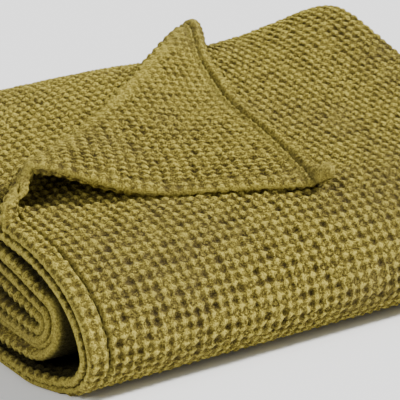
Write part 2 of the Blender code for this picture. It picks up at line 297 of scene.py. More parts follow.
def winding():
    """The rows of the winding from its inner end to its end hem, an even step apart."""
    rows = []

    def add(face, inner, pitch, inner_pitch, near):
        rows.append((face[0], face[1], inner[0], inner[1], pitch, inner_pitch, near))

    for y in np.arange(INNER_END_Y, FRONT_TURN_Y, -ROW_STEP):
        pitch = stack_pitch(y)
        face = stack_height("stack_foot", y) + 2 * pitch
        add((y, face), (y, face + 2 * pitch), pitch, pitch, INNER_END_STEP)
    pitch = stack_pitch(FRONT_TURN_Y)
    middle = (stack_height("stack_top", FRONT_TURN_Y) + stack_height("stack_foot", FRONT_TURN_Y)) / 2
    for angle in np.linspace(-math.pi / 2, math.pi / 2, FRONT_TURN_ROWS):
        out = (-math.cos(angle), math.sin(angle))
        add((FRONT_TURN_Y + 4 * pitch * out[0], middle + 4 * pitch * out[1]),
            (FRONT_TURN_Y + 2 * pitch * out[0], middle + 2 * pitch * out[1]), pitch, pitch, INNER_END_STEP)
    for y in np.arange(FRONT_TURN_Y + ROW_STEP, BACK_TURN_Y, ROW_STEP):
        pitch = stack_pitch(y)
        face = stack_height("stack_top", y) - 2 * pitch
        add((y, face), (y, face - 2 * pitch), pitch, pitch, INNER_END_STEP)
    pitch = stack_pitch(BACK_TURN_Y)
    foot = stack_height("stack_foot", BACK_TURN_Y)
    half = stack_height("stack_top", BACK_TURN_Y) / 2 - pitch
    for share in np.linspace(0.0, 1.0, BACK_TURN_ROWS):
        angle = math.pi * (0.5 - share)
        out = np.array([math.cos(angle) / BACK_TURN_REACH, math.sin(angle) / half])
        out /= np.linalg.norm(out)
        face = np.array([BACK_TURN_Y + BACK_TURN_REACH * math.cos(angle), half + half * math.sin(angle)])
        add(face, face - (2 * pitch + (foot - 2 * pitch) * share) * out,
            pitch + (PAIR_PITCH - pitch) * share, pitch, INNER_END_STEP * (1.0 - smooth(share)))
    for y in np.arange(BACK_TURN_Y - ROW_STEP, PROFILE_ROWS[0][0], -ROW_STEP):
        add((y, 0.0), (y, stack_height("stack_foot", y)), PAIR_PITCH, stack_pitch(y), 0.0)
    profile = even_points(spline(PROFILE_ROWS), ROW_STEP)
    stack = even_points(stack_face(profile), STACK_STEP)
    for place in profile:
        inner = stack[np.argmin(np.hypot(*(stack - place).T))]
        pitch = min(stack_pitch(inner[0]), stack_pitch(BACK_TURN_Y))
        add(place, inner, PAIR_PITCH, pitch, 0.0)
    rows = np.array(rows)
    along = lengths(rows[:, :2])
    cells = int(round(along[-1] / CELL))
    stations = np.linspace(0.0, cells * CELL, int(round(along[-1] / ROW_STEP)) + 1)
    rows = np.stack([np.interp(stations, along * cells * CELL / along[-1], values) for values in rows.T])
    rows = np.array([blurred(values, FACE_BLUR if number < 2 else ROW_BLUR)
                     for number, values in enumerate(rows)])
    spare = np.arange(1, SPARE_ROWS + 1)
    stations = np.concatenate([stations, stations[-1] + spare * (stations[-1] - stations[-2])])
    rows = np.hstack([rows, rows[:, -1:] + spare * (rows[:, -1:] - rows[:, -2:-1])])
    return stations, rows, cells


STATIONS, ROWS, LONG_CELLS = winding()
FACE = ROWS[0:2].T
FACE_IN = inward_sides(FACE)
INNER = ROWS[2:4].T
INNER_IN = inward_sides(INNER)
END = LONG_CELLS * CELL


def row_values(values, along):
    """A value of the winding's rows at places along the cloth."""
    return np.interp(along, STATIONS, values)


def row_points(points, along):
    """A point or a side of the winding's rows at places along the cloth."""
    return np.stack([row_values(points[:, axis], along) for axis in (0, 1)], axis=-1)


def place_along(y, z):
    """How far along the cloth the last pass of the winding comes nearest to a point."""
    gap = np.where(STATIONS < END / 2, np.inf, np.hypot(*(FACE - (y, z)).T))
    return STATIONS[np.argmin(gap)]


FOLD_START = place_along(FOLD_START_Y, stack_height("crown", FOLD_START_Y))
FOLD_SIN = math.sin(math.radians(FOLD_ANGLE))
FOLD_COS = math.cos(math.radians(FOLD_ANGLE))
FOLD_LENGTH = (END - FOLD_START) / FOLD_SIN


def curl_radius(along_fold):
    """The radius of the turned corner's curl along its fold."""
    share = np.clip(along_fold / FOLD_LENGTH, 0.0, 1.0)
    ends = np.where(share < 0.5, CURL_NEAR, CURL_FAR)
    return CURL_MIDDLE + (ends - CURL_MIDDLE) * (2.0 * share - 1.0) ** 2


DRAWN = spline(DRAWN_ROWS)


def past_fold(x, along):
    """How far past the fold and along it a place of the cloth lies, and its place once drawn in."""
    loose = np.clip((along - FOLD_START) / (END - FOLD_START), 0.0, 1.0) ** LOOSENING
    along = along - np.interp(x, DRAWN[:, 0], DRAWN[:, 1]) * loose
    return ((along - FOLD_START) * FOLD_COS - x * FOLD_SIN,
            x * FOLD_COS + (along - FOLD_START) * FOLD_SIN, along)


def outermost(x, along):
    """The middle of the outermost layer, with its corner turned back."""
    tab = np.exp(-((x - TAB_MIDDLE) / TAB_WIDTH) ** 2) * smooth((along - END + TAB_LENGTH) / TAB_LENGTH)
    lift = TIP_LIFT * np.exp(-np.hypot(x, END - along) / TIP_SPREAD) + TAB_LIFT * tab
    past, along_fold, along = past_fold(x, along)
    past = past + tab * TAB_REACH * FOLD_COS
    along_fold = along_fold + tab * TAB_REACH * FOLD_SIN
    radius = curl_radius(along_fold)
    angle = np.clip(past / radius, 0.0, math.pi)
    drop = 2 * radius - FLAP_REST
    lip = LIP * smooth(1.0 - x / LIP_WIDTH) * np.sin(angle)
    settle_over = SETTLE_NEAR + (SETTLE_FAR - SETTLE_NEAR) * smooth(along_fold / FOLD_LENGTH)
    beyond = past - math.pi * radius
    share = smooth(beyond / settle_over)
    lying = beyond > 0.0
    turned = past > 0.0
    height = np.where(lying, FLAP_REST + drop * (1.0 - share) + lift, radius - (radius - lip) * np.cos(angle))
    offset = np.where(lying, SLOPE_LOSS * drop ** 2 / settle_over * share - beyond,
                      (radius - lip) * np.sin(angle))
    x = np.where(turned, along_fold * FOLD_COS - offset * FOLD_SIN, x)
    along = np.where(turned, FOLD_START + along_fold * FOLD_SIN + offset * FOLD_COS, along)
    inward = row_points(FACE_IN, along)
    plane = row_points(FACE, along) + inward * (SHEET / 2 - height)[..., None]
    return np.concatenate([x[..., None], plane], axis=-1)


def settled(points):
    """The soft unevenness of the whole roll: its far back corner stands up, its near end leans out."""
    x, y, z = points[..., 0], points[..., 1], points[..., 2]
    lean = LEAN * smooth((y - LEAN_FRONT) / LEAN_DEPTH) * (1.0 - smooth((z - LEAN_FOOT) / LEAN_HEIGHT))
    x = x - lean * (1.0 - smooth(x / LEAN_FADE))
    corner = np.exp(-((x - CORNER_X) / CORNER_SPREAD_X) ** 2 - ((y - CORNER_Y) / CORNER_SPREAD_Y) ** 2)
    back = np.exp(-((x - BACK_X) / BACK_SPREAD) ** 2 - ((y - CORNER_Y) / BACK_SPREAD) ** 2)
    return np.stack([x, y, z * (1.0 + CORNER_RISE * corner + BACK_RISE * back)], axis=-1)


LAYER_STARTS = np.concatenate([[0], np.cumsum(column(STRIP_COLUMNS, STRIP_ROWS, "cells"))])
WIDE_CELLS = int(LAYER_STARTS[-1])
WIDTH = WIDE_CELLS * CELL


def layer_cell(name):
    """The cell across the cloth at which a layer of the folded strip starts."""
    return int(LAYER_STARTS[[row[0] for row in STRIP_ROWS].index(name)])


def strip(u, v):
    """The middle of the cloth at its own places across, u, and along, v."""
    near = row_values(ROWS[6], v)[:, None]
    pitch = row_values(ROWS[4], v)[:, None, None]
    inner_pitch = row_values(ROWS[5], v)[:, None]
    face = row_points(FACE, v)[:, None, :]
    face_in = row_points(FACE_IN, v)[:, None, :]
    inner = row_points(INNER, v)[:, None, :]
    inner_in = row_points(INNER_IN, v)[:, None, :]
    far = ROLL_LENGTH - FAR_BULGE - SHEET / 2
    inner_far = far - INNER_FOLD_BACK
    folded = near + FOLDED_EDGE_STEP * (1.0 - near / INNER_END_STEP) + inner_pitch / 2
    hem = near + SECOND_HEM_STEP
    first = face + face_in * SHEET / 2
    second = first + face_in * pitch
    third = inner + inner_in * SHEET / 2
    fourth = third + inner_in * inner_pitch[..., None]
    points = np.zeros((len(v), len(u), 3))

    def share(name):
        number = [row[0] for row in STRIP_ROWS].index(name)
        start, stop = LAYER_STARTS[number] * CELL, LAYER_STARTS[number + 1] * CELL
        chosen = np.nonzero((u >= start - 1e-6) & (u <= stop + 1e-6))[0]
        return chosen, ((u[chosen] - start) / (stop - start))[None, :]

    def pass_of(name, plane, x_start, x_stop):
        chosen, along = share(name)
        points[:, chosen, 0] = x_start + (x_stop - x_start) * along
        points[:, chosen, 1:] = plane

    def fold_of(name, start, stop, x, bulge):
        chosen, along = share(name)
        span = stop - start
        reach = np.minimum(abs(bulge), np.linalg.norm(span, axis=-1) / 2)
        points[:, chosen, 0] = x + math.copysign(1.0, bulge) * reach * np.sin(math.pi * along)
        points[:, chosen, 1:] = start + span * ((1.0 - np.cos(math.pi * along)) / 2)[..., None]

    fold_of("far_fold", first, fourth, far, FAR_BULGE)
    fold_of("near_fold", fourth, third, folded, -FAR_BULGE)
    fold_of("inner_fold", third, second, inner_far, FAR_BULGE)
    pass_of("fourth", fourth, far, folded)
    pass_of("third", third, folded, inner_far)
    pass_of("second", second, inner_far, hem)
    chosen, along = share("outermost")
    x = near + (far - near) * along
    points[:, chosen] = outermost(x, np.broadcast_to(v[:, None], x.shape))
    return settled(points)


def thickness(u, v):
    """Half the cloth's thickness, how much of the weave it shows, and its grooves with the painted shade that
    darkens them and the loose end's edge, over u and v.
    """
    side = np.minimum(u, WIDTH - u)[None, :]
    end = np.minimum(END - v, v)[:, None]
    curl = smooth((v - FOLD_START - CURL_PUFF_FROM) / CURL_PUFF_OVER)[:, None] * (u < WIDTH / 2)
    side_most = HEM_PUFF + CURL_PUFF * curl
    side_puff = side_most * smooth(side / SIDE_PUFF_OVER[0]) * smooth((SIDE_HEM - side) / SIDE_PUFF_OVER[1])
    end_puff = HEM_PUFF * smooth(end / END_PUFF_OVER[0]) * smooth((END_HEM - end) / END_PUFF_OVER[1])
    puff = np.minimum(side_puff + end_puff, side_most)
    side_line = side - SIDE_HEM + HEM_WOBBLE * sum(np.sin(v / wave) for wave in SIDE_WAVES)[:, None]
    end_line = end - END_HEM + HEM_WOBBLE * sum(np.sin(u / wave) for wave in END_WAVES)[None, :]
    tab = np.exp(-((u - TAB_MIDDLE) / TAB_WIDTH) ** 2) * smooth((v - END + TAB_LENGTH) / TAB_LENGTH)[:, None]
    groove_and_painted_shade = np.maximum(np.exp(-(side_line / GROOVE_WIDTH) ** 2), np.exp(-(end_line / GROOVE_WIDTH) ** 2))
    second_row = np.exp(-((end_line - SECOND_ROW) / GROOVE_WIDTH) ** 2) * SECOND_ROW_SHARE
    groove_and_painted_shade = np.maximum(groove_and_painted_shade, second_row) * (1.0 - np.minimum(TAB_UNSTITCHED * tab, 1.0))
    edge = np.minimum(side, end)
    rounding = np.sqrt(np.clip(1.0 - (1.0 - np.minimum(edge / EDGE_ROUND, 1.0)) ** 2, 0.0, 1.0))
    rope = np.where(u > WIDTH / 2, SECOND_ROPE, HEM_ROPE) * np.exp(-((side - ROPE_MIDDLE) / ROPE_WIDTH) ** 2)
    rope = rope + END_ROPE * np.exp(-((end - END_ROPE_MIDDLE) / END_ROPE_WIDTH) ** 2) * (1.0 - tab)
    half = SHEET / 2 + puff + rope - GROOVE_DEPTH * groove_and_painted_shade + TAB_PLUMP * tab
    half = half * np.maximum(rounding, EDGE_LEAST)
    plain = np.minimum(smooth((side - SIDE_HEM + HEM_WEAVE_FROM) / HEM_WEAVE_OVER),
                       smooth((end - END_HEM + HEM_WEAVE_FROM) / HEM_WEAVE_OVER))
    amount = HEM_WEAVE + (1.0 - HEM_WEAVE) * plain
    amount = amount * (1.0 - groove_and_painted_shade) * np.minimum(rounding + EDGE_WEAVE, 1.0)
    near_fold = (layer_cell("near_fold") + 0.5) * CELL
    amount = amount * (1.0 - FOLD_CALM * np.exp(-((u - near_fold) / FOLD_CALM_WIDTH) ** 2))
    past, along_fold = past_fold(u * ROLL_LENGTH / (layer_cell("far_fold") * CELL), v[:, None])[:2]
    radius = curl_radius(along_fold)
    crease = np.exp(-((past - CREASE_SHARE * math.pi * radius) / CREASE_WIDTH) ** 2) * (u < WIDTH / 4)
    # Painted shade along the outer edge of the loose end hem, carried with the grooves into the colour
    groove_and_painted_shade = np.maximum(groove_and_painted_shade, END_SHADE * np.exp(-(end / END_SHADE_WIDTH) ** 2) * (1.0 - tab))
    # The calmed crease and tab flatten, and take a lighter tone that is a painted highlight
    return half, amount * (1.0 - CREASE_CALM * crease) * (1.0 - TAB_CALM * tab), groove_and_painted_shade


# Painted shade between the layers: how dark it makes the cloth, and how far in from an edge the cloth keeps
# its full colour
PAINTED_SHADE_DARKEST = 0.06
PAINTED_SHADE_DEPTH = 2.9
SQUEEZE_CALM = 1.5
REVERSE_TURN = 0.5
BARE = (0.0, WIDTH)
COVERED = (-1.0, -1.0)
# How many faces each side of a cell is cut into, where the cloth is mostly hidden and where it shows
HIDDEN_CUTS = 4
SHOWN_CUTS = 6


def cell_middles(cells_u, cells_v):
    """The middles of the cells in one part of the cloth."""
    return np.meshgrid((np.arange(*cells_u) + 0.5) * CELL, (np.arange(*cells_v) + 0.5) * CELL)


def rim_places(rows, columns):
    """The places round the rim of a block of rows and columns, in order."""
    return ([(0, i) for i in range(columns)] + [(j, columns) for j in range(rows)]
            + [(rows, i) for i in range(columns, 0, -1)] + [(j, 0) for j in range(rows, 0, -1)])


def cloth_mesh(name, cells_u, cells_v, per_cell, shown_face, shown_reverse, bare_face, bare_reverse):
    """One part of the cloth as a closed sheet: fine where it shows, one face a cell where it doesn't.

    The bare stretches across the cloth lie open and keep their full colour; elsewhere painted shade darkens
    the cloth, all but near the edges of the layers."""
    count_u = (cells_u[1] - cells_u[0]) * per_cell + 1
    count_v = (cells_v[1] - cells_v[0]) * per_cell + 1
    u = cells_u[0] * CELL + np.arange(count_u) * CELL / per_cell
    v = cells_v[0] * CELL + np.arange(count_v) * CELL / per_cell
    middle = strip(u, v)
    out = np.cross(np.gradient(middle, axis=1), np.gradient(middle, axis=0))
    out /= np.linalg.norm(out, axis=-1)[..., None]
    half, amount, groove_and_painted_shade = thickness(u, v)
    squeezed = np.linalg.norm(np.gradient(middle, axis=0), axis=-1) * per_cell / CELL
    amount = amount * np.clip(squeezed, 0.0, 1.0) ** SQUEEZE_CALM
    rim_v, rim_u = np.array(rim_places(per_cell, per_cell)).T
    place = np.stack(np.broadcast_arrays(u[None, :], v[:, None]), axis=-1)

    folds = [(layer_cell(fold) + 0.5) * CELL for fold in ("near_fold", "inner_fold", "far_fold")]
    edges = [0.0, WIDTH] + folds
    # Painted shade: the cloth between the layers darkens the farther it lies from an edge or fold
    depth = np.min([np.abs(u - edge) for edge in edges], axis=0)
    painted_shade_between = PAINTED_SHADE_DARKEST + (1.0 - PAINTED_SHADE_DARKEST) * np.exp(-(depth / PAINTED_SHADE_DEPTH) ** 2)

    points, sides, places, amounts, grooves_and_painted_shade, painted_shades, faces, numbers = [], [], [], [], [], [], [], []
    total = 0
    for sense, shown, bare in ((1.0, shown_face, bare_face), (-1.0, shown_reverse, bare_reverse)):
        # Full colour on the bare stretch, painted shade on the rest
        light = np.where((u >= bare[0]) & (u <= bare[1]), 1.0, painted_shade_between)
        fine = np.repeat(np.repeat(shown, per_cell, axis=0), per_cell, axis=1)
        seen = np.zeros((count_v, count_u), dtype=bool)
        for rows, columns in ((slice(0, -1), slice(0, -1)), (slice(1, None), slice(0, -1)),
                              (slice(0, -1), slice(1, None)), (slice(1, None), slice(1, None))):
            seen[rows, columns] |= fine
        used = seen.copy()
        used[::per_cell, ::per_cell] = True
        used[[0, -1], :] = True
        used[:, [0, -1]] = True
        number = np.full(used.shape, -1)
        number[used] = total + np.arange(used.sum())
        total += int(used.sum())
        numbers.append(number)
        points.append((middle + out * (sense * half)[..., None])[used])
        sides.append((out * sense)[used])
        turn = np.full(used.shape, 0.0 if sense > 0 else REVERSE_TURN)
        places.append(np.concatenate([place * MM, turn[..., None]], axis=-1)[used])
        amounts.append(np.where(seen, amount, 0.0)[used])
        grooves_and_painted_shade.append(groove_and_painted_shade[used])
        painted_shades.append(np.broadcast_to(light, used.shape)[used])
        j, i = np.nonzero(fine)
        quads = np.stack([number[j, i], number[j, i + 1], number[j + 1, i + 1], number[j + 1, i]], axis=1)
        j, i = np.nonzero(~shown)
        rims = number[j[:, None] * per_cell + rim_v, i[:, None] * per_cell + rim_u]
        if sense < 0:
            quads, rims = quads[:, ::-1], rims[:, ::-1]
        faces += quads.tolist()
        faces += [[corner for corner in ring if corner >= 0] for ring in rims.tolist()]

    around = rim_places(count_v - 1, count_u - 1)
    of_face, of_reverse = numbers
    cut_sides = (cells_v[0] > 0, cells_v[1] < LONG_CELLS, cells_u[0] > 0, cells_u[1] < WIDE_CELLS)
    smooth_faces = [True] * len(faces)
    for here, there in zip(around, around[1:] + around[:1]):
        ring = (of_face[there], of_face[here], of_reverse[here], of_reverse[there])
        faces.append([int(corner) for corner in ring])
        on_cut = (here[0] == there[0] == 0 and cut_sides[0],
                  here[0] == there[0] == count_v - 1 and cut_sides[1],
                  here[1] == there[1] == 0 and cut_sides[2],
                  here[1] == there[1] == count_u - 1 and cut_sides[3])
        smooth_faces.append(not any(on_cut))

    points = np.concatenate(points)
    points[:, :2] -= ROLL_MIDDLE
    data = bpy.data.meshes.new(name)
    data.from_pydata(points * MM, [], faces)
    data.polygons.foreach_set("use_smooth", smooth_faces)
    for title, kind, key, values in (("cloth", "FLOAT_VECTOR", "vector", np.concatenate(places)),
                                     ("out", "FLOAT_VECTOR", "vector", np.concatenate(sides)),
                                     ("amount", "FLOAT", "value", np.concatenate(amounts)),
                                     ("groove_and_painted_shade", "FLOAT", "value", np.concatenate(grooves_and_painted_shade)),
                                     ("painted_shade", "FLOAT", "value", np.concatenate(painted_shades))):
        data.attributes.new(title, kind, "POINT").data.foreach_set(key, np.ascontiguousarray(values).ravel())
    piece = bpy.data.objects.new(name, data)
    bpy.context.scene.collection.objects.link(piece)
    return piece


# The waffle cells: where their pits sink, how their walls, knots and nubs rise, and how they vary
PIT_MIDDLE = (0.49, 0.39, 0.0)
# Where the painted shade in each pit is darkest: off the pit's own middle, toward the side that the light
# leaves in shade
PAINTED_PIT_SHADE_MIDDLE = (0.56, 0.34, 0.0)
PIT_WANDER = (0.15, 0.15, 0.0)
WALL_SOFTNESS = 0.25
WALL_CURVE = 0.75
WALL_SHARE = 0.62
KNOT_FALL = 1.6
KNOT_CURVE = 0.6
KNOT_SHARE = 0.42
PIT_DEPTH_LEAST = 0.68
PIT_DEPTH_RANGE = 0.36
NUB_FALL = 2.6
NUB_CURVE = 0.7
NUB_SHARE = 0.36
NUB_SEED = 7
YARNS_IN_A_CELL = 5
STITCHES_IN_A_CELL = 1.3


def add_node(tree, kind, feeds=(), **settings):
    """One node of a tree, with its settings and what feeds its sockets."""
    made = tree.nodes.new(kind)
    for name, value in settings.items():
        setattr(made, name, value)
    for socket, source in feeds:
        if isinstance(source, bpy.types.NodeSocket):
            tree.links.new(source, made.inputs[socket])
        else:
            made.inputs[socket].default_value = source
    return made


def number_node(tree, operation, first, second=0.0, third=0.0):
    """The result of one sum."""
    feeds = [(0, first), (1, second), (2, third)]
    return add_node(tree, "ShaderNodeMath", feeds, operation=operation).outputs[0]


def vector_node(tree, operation, first, second=(0.0, 0.0, 0.0)):
    """The result of one vector sum."""
    return add_node(tree, "ShaderNodeVectorMath", [(0, first), (1, second)], operation=operation).outputs[0]


def soft_step(tree, value, low, high):
    """0 under low, 1 over high and soft between them."""
    feeds = [("Value", value), ("From Min", low), ("From Max", high)]
    return add_node(tree, "ShaderNodeMapRange", feeds, interpolation_type="SMOOTHSTEP").outputs[0]


def cell_relief(tree, cells, pit_middle, seed, nub_share):
    """How the weave stands at a place of its cells: from 0 in the pits to 1 on the ridges, and the nubs."""
    feeds = [("Vector", vector_node(tree, "FLOOR", cells)), ("W", seed)]
    chance = add_node(tree, "ShaderNodeTexWhiteNoise", feeds, noise_dimensions="4D").outputs
    middle = vector_node(tree, "ADD", vector_node(tree, "MULTIPLY", chance["Color"], PIT_WANDER), pit_middle)
    off = vector_node(tree, "SUBTRACT", vector_node(tree, "FRACTION", cells), middle)
    ahead = vector_node(tree, "DIVIDE", off, vector_node(tree, "SUBTRACT", (1.0, 1.0, 1.0), middle))
    behind = vector_node(tree, "DIVIDE", off, vector_node(tree, "SUBTRACT", (0.0, 0.0, 0.0), middle))
    reach_both = vector_node(tree, "MAXIMUM", ahead, behind)
    reach = add_node(tree, "ShaderNodeSeparateXYZ", [(0, reach_both)]).outputs
    squared = number_node(tree, "MULTIPLY", reach[0], reach[0])
    squared = number_node(tree, "MULTIPLY_ADD", reach[1], reach[1], squared)
    wall = number_node(tree, "SMOOTH_MAX", reach[0], reach[1], WALL_SOFTNESS)
    wall = number_node(tree, "POWER", wall, WALL_CURVE)
    corner = vector_node(tree, "MULTIPLY", reach_both, (1.0, 1.0, 0.0))
    corner = vector_node(tree, "SUBTRACT", (1.0, 1.0, 0.0), corner)
    corner = add_node(tree, "ShaderNodeVectorMath", [(0, corner), (1, corner)], operation="DOT_PRODUCT")
    corner = corner.outputs["Value"]
    knot = number_node(tree, "MAXIMUM", number_node(tree, "MULTIPLY_ADD", corner, -KNOT_FALL, 1.0), 0.0)
    knot = number_node(tree, "POWER", knot, KNOT_CURVE)
    wall = number_node(tree, "MULTIPLY", wall, WALL_SHARE)
    raised = number_node(tree, "MULTIPLY_ADD", knot, KNOT_SHARE, wall)
    varied = add_node(tree, "ShaderNodeSeparateXYZ", [(0, chance["Color"])]).outputs[2]
    depth = number_node(tree, "MULTIPLY_ADD", varied, PIT_DEPTH_RANGE, PIT_DEPTH_LEAST)
    sunk = number_node(tree, "MULTIPLY", number_node(tree, "SUBTRACT", 1.0, raised), depth)
    raised = number_node(tree, "SUBTRACT", 1.0, sunk)
    dome = number_node(tree, "MAXIMUM", number_node(tree, "MULTIPLY_ADD", squared, -NUB_FALL, 1.0), 0.0)
    has_nub = number_node(tree, "LESS_THAN", chance["Value"], nub_share)
    nub = number_node(tree, "MULTIPLY", has_nub, number_node(tree, "POWER", dome, NUB_CURVE))
    return raised, nub, varied


# Unevenness over the cells, each as the scale and detail of its noise, and how high its lumps stand
DRIFT_WAVE = (50.0, 1.0)
LUMP_WAVE = (150.0, 2.0)
LUMP_HEIGHT = 0.6
FINE_LUMP_WAVE = (330.0, 1.0)
FINE_LUMP_HEIGHT = 0.5
SWELL_WAVE = (11.0, 2.0)


def relief_tree():
    """Raises the cells of the waffle weave on a sheet that carries its own places and sides."""
    tree = bpy.data.node_groups.new("waffle_relief", "GeometryNodeTree")
    tree.interface.new_socket("Geometry", in_out="OUTPUT", socket_type="NodeSocketGeometry")
    tree.interface.new_socket("Geometry", in_out="INPUT", socket_type="NodeSocketGeometry")
    for title in ("Cell", "Ridge", "Pit", "Nub", "Nub Share", "Wander", "Swell"):
        tree.interface.new_socket(title, in_out="INPUT", socket_type="NodeSocketFloat")
    tree.interface.new_socket("Seed", in_out="INPUT", socket_type="NodeSocketInt")
    tree.interface.new_socket("Cloth", in_out="INPUT", socket_type="NodeSocketMaterial")
    given = add_node(tree, "NodeGroupInput").outputs

    def stored_on_sheet(name, kind):
        return add_node(tree, "GeometryNodeInputNamedAttribute", [(0, name)], data_type=kind).outputs[0]

    def wave(scale, detail):
        feeds = [("Vector", flat), ("W", given["Seed"]), ("Scale", scale), ("Detail", detail)]
        return add_node(tree, "ShaderNodeTexNoise", feeds, noise_dimensions="4D")

    def scaled(vector, scale):
        feeds = [(0, vector), ("Scale", scale)]
        return add_node(tree, "ShaderNodeVectorMath", feeds, operation="SCALE").outputs[0]

    place = stored_on_sheet("cloth", "FLOAT_VECTOR")
    out = stored_on_sheet("out", "FLOAT_VECTOR")
    amount = stored_on_sheet("amount", "FLOAT")
    parts = add_node(tree, "ShaderNodeSeparateXYZ", [(0, place)]).outputs
    flat = add_node(tree, "ShaderNodeCombineXYZ", [(0, parts[0]), (1, parts[1])]).outputs[0]
    drift = vector_node(tree, "SUBTRACT", wave(*DRIFT_WAVE).outputs["Color"], (0.5, 0.5, 0.5))
    drift = scaled(drift, given["Wander"])
    across = number_node(tree, "ADD", number_node(tree, "DIVIDE", parts[0], given["Cell"]), parts[2])
    onward = number_node(tree, "ADD", number_node(tree, "DIVIDE", parts[1], given["Cell"]), parts[2])
    cells = add_node(tree, "ShaderNodeCombineXYZ", [(0, across), (1, onward)]).outputs[0]
    cells = vector_node(tree, "ADD", vector_node(tree, "ADD", cells, drift), (0.5, 0.5, 0.0))
    raised, nub, varied = cell_relief(tree, cells, PIT_MIDDLE, given["Seed"], given["Nub Share"])
    lumps = []
    for scale_and_detail, tall in ((LUMP_WAVE, LUMP_HEIGHT), (FINE_LUMP_WAVE, FINE_LUMP_HEIGHT)):
        lump = wave(*scale_and_detail).outputs[0]
        lumps.append(number_node(tree, "MULTIPLY_ADD", lump, tall, -tall / 2))
    raised = number_node(tree, "ADD", raised, number_node(tree, "ADD", *lumps))

    depth = number_node(tree, "ADD", given["Ridge"], given["Pit"])
    height = number_node(tree, "SUBTRACT", number_node(tree, "MULTIPLY", raised, depth), given["Pit"])
    height = number_node(tree, "ADD", height, number_node(tree, "MULTIPLY", nub, given["Nub"]))
    height = number_node(tree, "MULTIPLY", height, amount)
    same_way = number_node(tree, "MULTIPLY_ADD", parts[2], -2.0 / REVERSE_TURN, 1.0)
    swell = number_node(tree, "SUBTRACT", wave(*SWELL_WAVE).outputs[0], 0.5)
    swell = number_node(tree, "MULTIPLY", number_node(tree, "MULTIPLY", swell, same_way), given["Swell"])
    height = number_node(tree, "ADD", height, swell)

    stored = add_node(tree, "GeometryNodeStoreNamedAttribute",
                      [("Geometry", given["Geometry"]), ("Name", "cell"), ("Value", cells)],
                      data_type="FLOAT_VECTOR", domain="POINT").outputs[0]
    offset = scaled(out, height)
    position = add_node(tree, "GeometryNodeInputPosition").outputs[0]
    raised_place = vector_node(tree, "ADD", position, offset)
    raised_place = add_node(tree, "ShaderNodeSeparateXYZ", [(0, raised_place)]).outputs
    above = number_node(tree, "MAXIMUM", raised_place[2], 0.0)
    feeds = [(0, raised_place[0]), (1, raised_place[1]), (2, above)]
    position = add_node(tree, "ShaderNodeCombineXYZ", feeds).outputs[0]
    feeds = [("Geometry", stored), ("Position", position)]
    moved = add_node(tree, "GeometryNodeSetPosition", feeds).outputs[0]
    real = add_node(tree, "GeometryNodeRealizeInstances", [("Geometry", moved)]).outputs[0]
    feeds = [("Geometry", real), ("Material", given["Cloth"])]
    finished = add_node(tree, "GeometryNodeSetMaterial", feeds).outputs[0]
    add_node(tree, "NodeGroupOutput", [(0, finished)])
    return tree


# The cotton's colours, from the depth of the pits to the tops of the ridges, and where it is worn. The lower
# the weave lies the darker it is: partly the taupe of the pits' yarn, partly painted shade in the pits
RIDGE_RAMP = (
    (0.04, (0.032, 0.021, 0.007, 1.0)),
    (0.33, (0.088, 0.064, 0.013, 1.0)),
    (0.66, (0.218, 0.170, 0.026, 1.0)),
    (1.0, (0.655, 0.545, 0.105, 1.0)),
)
WASHED_TAUPE = (0.115, 0.086, 0.040, 1.0)
# Painted shade for the stitched grooves of the hems
PAINTED_GROOVE_SHADE = (0.020, 0.013, 0.005, 1.0)
SHEEN_TINT = (0.75, 0.66, 0.25, 1.0)
WASHED_SCALE = 9.0
WOBBLE_SCALE = 230.0
WOBBLE = (0.3, 0.3, 0.0)
FUZZ_SCALE = 620.0
BUMP_HEIGHT = 0.0048
# How much each detail adds to the tone of the ramp, as a factor and a shift
NUB_TONE = 0.75
STRAND_TONE = (0.2, -0.14)
FUZZ_TONE = (2.0, -1.06)
FLAT_TONE = (1.2, 0.26)
# Where the weave takes over from the plain hems, and where the cloth is washed out and by how much
WOVEN_STEP = (0.2, 1.15)
WASHED_STEP = (0.42, 0.68)
WASHED_VARIED = (0.6, 0.2)
WASHED_SHARE = 0.5
# How the painted shade in the grooves is broken by the stitches, and how dark it gets
STITCH_STEP = (0.15, 0.35)
STITCH_LIGHTER = 0.3
GROOVE_SHARE = 0.9
# How high each detail stands in the fine relief of the surface
NUB_GRAIN = 0.35
WEAVE_GRAIN = 0.9
STRAND_GRAIN = 0.12
FUZZ_GRAIN = 0.8


